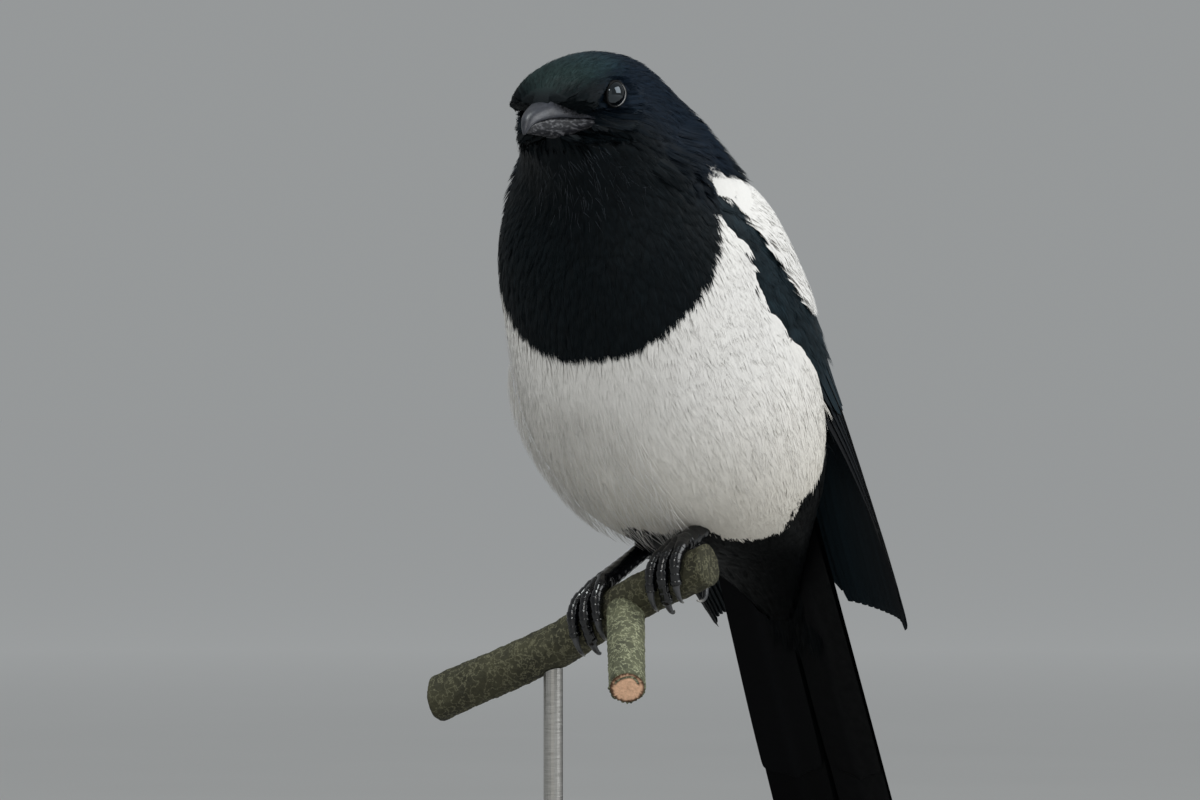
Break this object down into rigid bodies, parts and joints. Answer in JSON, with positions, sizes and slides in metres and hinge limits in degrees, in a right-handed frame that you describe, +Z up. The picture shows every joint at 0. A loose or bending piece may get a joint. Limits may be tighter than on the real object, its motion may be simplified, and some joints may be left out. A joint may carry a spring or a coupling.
{
  "type": "eurasian magpie",
  "caption": "Life-size perched magpie with black head and breast, white belly and shoulders and long tail, gripping a short cut branch on a rod and wooden base.",
  "frame": {"origin": "middle of the stand base's underside", "axes": "+Z up; the bird faces -Y and its left side is +X; the branch runs along X"},
  "size_m": [0.19, 0.2757, 0.3906],
  "materials": {
    "black_plumage": "soft black contour feathers with a faint green and blue gloss",
    "white_plumage": "soft silky white belly feathers",
    "wing_feathers": "smooth black flight feathers with a blue-green gloss",
    "tail_feathers": "smooth black tail feathers with a green gloss",
    "bill": "dark grey horn with a dull gloss",
    "eye": "wet dark brown, nearly black",
    "leg_skin": "black scaled skin with a gloss",
    "claw": "dark grey horn",
    "bark": "grey-green bark, with a pale cut face on the short side stub",
    "base_wood": "dark wood, satin",
    "rod_metal": "brushed steel"
  },
  "bodies": {
    "root": {"head": "black_plumage", "neck": "black_plumage", "torso": "white_plumage", "bill_upper": "bill", "bill_lower": "bill", "eye_left": "eye", "eye_right": "eye", "wing_left": "wing_feathers", "wing_right": "wing_feathers", "shoulder_left": "white_plumage", "shoulder_right": "white_plumage", "tail": "tail_feathers", "thigh_left": "black_plumage", "thigh_right": "black_plumage", "shank_left": "leg_skin", "shank_right": "leg_skin", "foot_left": "leg_skin", "foot_right": "leg_skin", "claw_left_inner": "claw", "claw_left_middle": "claw", "claw_left_outer": "claw", "claw_left_hind": "claw", "claw_right_inner": "claw", "claw_right_middle": "claw", "claw_right_outer": "claw", "claw_right_hind": "claw", "perch": "bark", "stand_base": "base_wood", "stand_rod": "rod_metal", "stand_collar": "rod_metal"}
  },
  "joints": []
}
